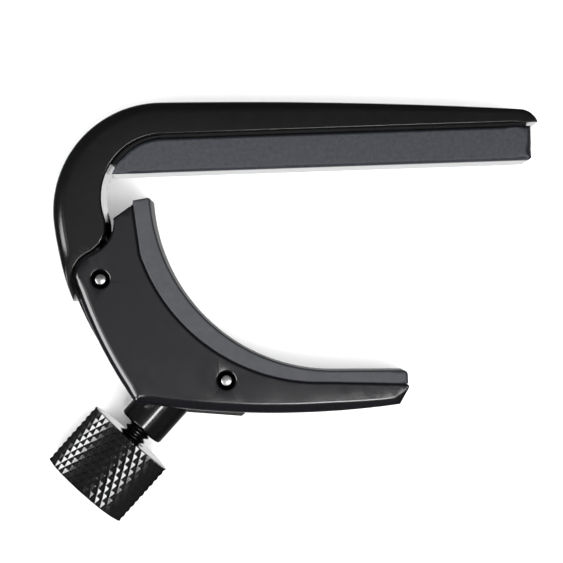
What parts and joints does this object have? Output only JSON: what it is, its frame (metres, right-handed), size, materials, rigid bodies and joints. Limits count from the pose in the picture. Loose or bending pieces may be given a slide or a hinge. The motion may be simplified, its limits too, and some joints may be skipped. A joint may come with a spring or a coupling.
{
  "type": "guitar capo",
  "caption": "C-shaped guitar capo with a hinged jaw, two rubber pads and a knurled micrometer screw that closes the jaw on the neck.",
  "frame": {"origin": "centre of the fret pad's face, on the middle plane of the capo", "axes": "+X along the fret pad towards the open end, +Y from the neck up to the arm, +Z across the width along the hinge pin; the capo lies on its -Z side"},
  "size_m": [0.0645, 0.054, 0.013],
  "materials": {
    "frame_black": "satin",
    "jaw_black": "satin",
    "fret_pad_rubber": "fine matte",
    "neck_pad_rubber": "smooth matte",
    "barrel_black": "gloss",
    "knob_black": "knurled, semi-gloss",
    "pin_steel": "bright",
    "screw_steel": "dark oiled",
    "spring_steel": "bright",
    "brass": "turned",
    "bronze": "sintered",
    "nylon": "natural",
    "rail_plastic": "moulded"
  },
  "bodies": {
    "frame": {"frame_arm": "frame_black", "fret_pad": "fret_pad_rubber", "fret_pad_rail": "rail_plastic", "hinge_bush": "bronze", "barrel": "barrel_black", "barrel_lock_pin": "pin_steel", "thread_insert": "brass", "friction_ring": "nylon", "return_spring": "spring_steel"},
    "jaw": {"jaw": "jaw_black", "neck_pad": "neck_pad_rubber", "hinge_pin": "pin_steel", "hinge_washers": "nylon", "thrust_block": "screw_steel", "block_pin": "pin_steel"},
    "foot": {"swivel_foot": "brass", "foot_clip": "spring_steel"},
    "spindle": {"adjusting_screw": "screw_steel", "knob": "knob_black", "knob_grub_screw": "screw_steel"}
  },
  "joints": [
    {"name": "screw_advance", "type": "slide", "parent": "frame", "child": "foot", "axis": [0.6921, 0.7218, 0], "range_m": [-0.00115, 0.00159]},
    {"name": "knob_turn", "type": "hinge", "parent": "foot", "child": "spindle", "pos_m": [-0.0242, -0.03285, 0], "axis": [0.6921, 0.7218, 0], "range_deg": [-521, 721]},
    {"name": "jaw_swing", "type": "hinge", "parent": "frame", "child": "jaw", "pos_m": [-0.02836, -0.01343, 0], "axis": [0, 0, 1], "range_deg": [-4, 5.54], "deforming": ["return_spring"]}
  ],
  "couplings": [
    {"joint": "knob_turn", "follows": "screw_advance", "rad_per_m": 7915.8},
    {"joint": "jaw_swing", "follows": "screw_advance", "rad_per_m": 60.813}
  ]
}
